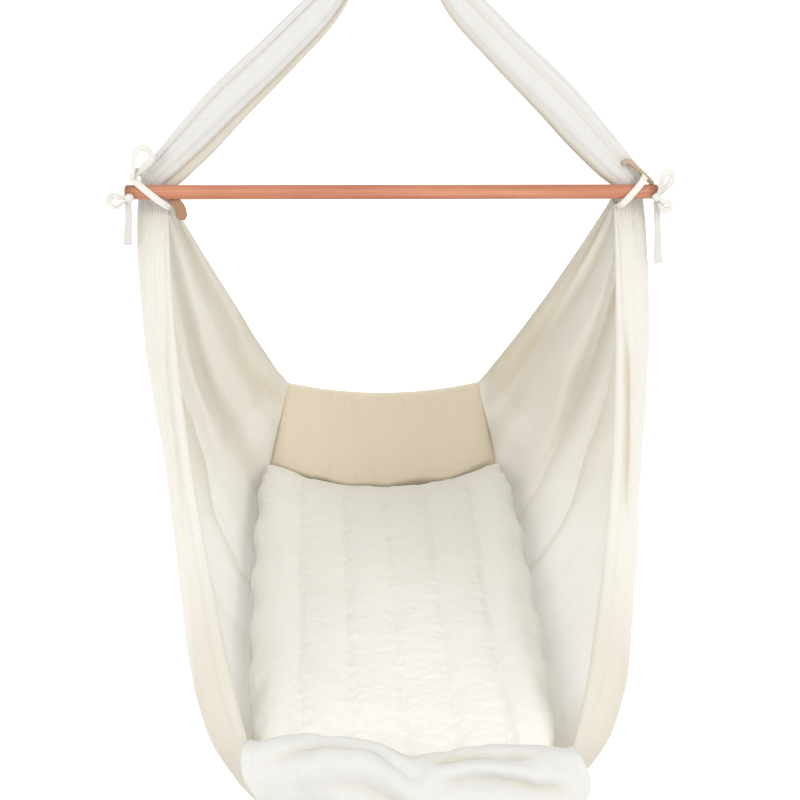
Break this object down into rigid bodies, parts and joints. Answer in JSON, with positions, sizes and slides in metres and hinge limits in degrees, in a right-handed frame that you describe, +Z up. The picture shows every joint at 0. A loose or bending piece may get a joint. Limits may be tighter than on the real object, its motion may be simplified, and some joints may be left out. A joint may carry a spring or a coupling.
{
  "type": "hanging baby cradle",
  "caption": "Long cloth cradle with a padded bed and fanned side walls, spread by a round wooden bar and hung from a spring, a snap hook and a swivel.",
  "frame": {"origin": "where the ceiling hook bears, at the top inside of the swivel eye; the part hangs below it", "axes": "+Z up along the hang line, +X along the wooden bar, +Y to the head end of the bed, -Y to the foot end"},
  "size_m": [0.6265, 0.8907, 1.1702],
  "materials": {
    "zinc": "zinc plated, satin",
    "steel": "bright drawn wire, satin",
    "brass_washer": "plain",
    "varnished_wood": "copper brown stain under clear varnish",
    "cotton": "plain woven off-white cotton",
    "shaded_cotton": "plain woven off-white cotton, tan where it lies in shade",
    "pad_cotton": "soft white cotton over filling",
    "tape": "woven white cotton tape",
    "tan_tape": "woven tan cotton tape"
  },
  "bodies": {
    "eye": {"swivel_eye": "zinc"},
    "swivel": {"swivel_link": "zinc", "swivel_washer": "brass_washer"},
    "coil": {"spring": "steel"},
    "clip": {"carabiner_body": "steel", "carabiner_pin": "steel"},
    "gate": {"carabiner_gate": "steel"},
    "cradle": {"d_ring": "steel", "spreader_bar": "varnished_wood", "sling_left": "cotton", "sling_right": "cotton", "whipping_left": "tape", "whipping_right": "tape", "side_wall_left": "cotton", "side_wall_right": "cotton", "base_panel": "shaded_cotton", "head_panel": "shaded_cotton", "foot_panel": "cotton", "mattress": "pad_cotton", "lashing_left": "tape", "lashing_right": "tape", "bow_left": "tape", "bow_right": "tape", "tie_tail_left": "tape", "tie_tail_right": "tape", "tan_tab_left": "tan_tape", "tan_cord_right": "tan_tape"}
  },
  "joints": [
    {"name": "swivel_turn", "type": "hinge", "parent": "eye", "child": "swivel", "pos_m": [0, 0, -0.0385], "axis": [0, 0, 1], "continuous": true},
    {"name": "swing_lengthways", "type": "hinge", "parent": "swivel", "child": "coil", "pos_m": [0, 0, -0.0825], "axis": [1, 0, 0], "range_deg": [-20, 20]},
    {"name": "bounce", "type": "slide", "parent": "coil", "child": "clip", "axis": [0, 0, -1], "range_m": [0, 0.08], "stiffness_N_per_m": 400, "springref_m": -0.2, "deforming": ["spring"]},
    {"name": "swing_sideways", "type": "hinge", "parent": "clip", "child": "cradle", "pos_m": [0, 0, -0.2587], "axis": [0, 1, 0], "range_deg": [-15, 15]},
    {"name": "gate_hinge", "type": "hinge", "parent": "clip", "child": "gate", "pos_m": [0.015, 0, -0.2455], "axis": [0, 1, 0], "range_deg": [-25, 0], "stiffness_Nm_per_rad": 0.02, "springref_deg": 57.3}
  ]
}
